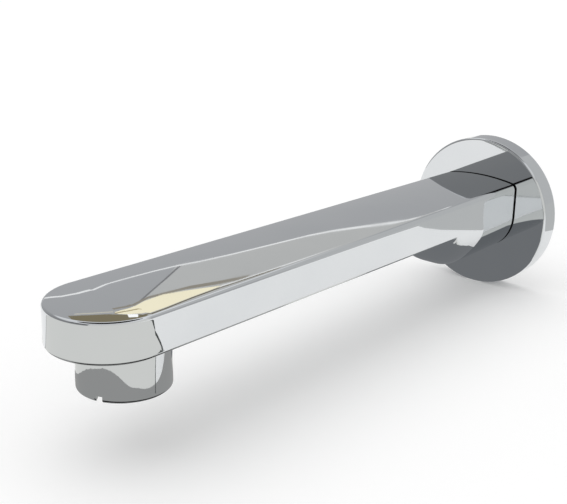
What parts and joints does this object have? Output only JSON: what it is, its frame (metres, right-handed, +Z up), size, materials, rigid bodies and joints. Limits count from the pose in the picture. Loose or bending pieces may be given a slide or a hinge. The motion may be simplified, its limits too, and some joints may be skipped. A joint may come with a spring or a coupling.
{
  "type": "bath spout",
  "caption": "Wall mounted bath spout with a flat round-nosed arm, a half round inlet hub, a round wall flange and a screwed aerator under the nose.",
  "frame": {"origin": "point where the inlet's axis meets the finished wall", "axes": "-Y along the arm away from the wall, +Y into the wall, +Z up, +X to the right of someone who faces the wall"},
  "size_m": [0.059, 0.218, 0.059],
  "materials": {
    "chromed_brass": "polished chrome plate over cast brass",
    "chromed_steel": "polished chrome plate over pressed steel",
    "black_rubber": "smooth moulded rubber",
    "white_plastic": "matt moulded acetal",
    "grey_plastic": "matt moulded acetal",
    "steel_mesh": "woven stainless wire"
  },
  "bodies": {
    "root": {"spout_body": "chromed_brass", "wall_flange": "chromed_steel", "flange_ring": "black_rubber", "aerator_shell": "chromed_brass", "aerator_gasket": "black_rubber", "insert_housing": "grey_plastic", "jet_disc": "white_plastic", "filter_screen": "white_plastic", "outlet_mesh": "steel_mesh", "outlet_grid": "white_plastic"}
  },
  "joints": []
}
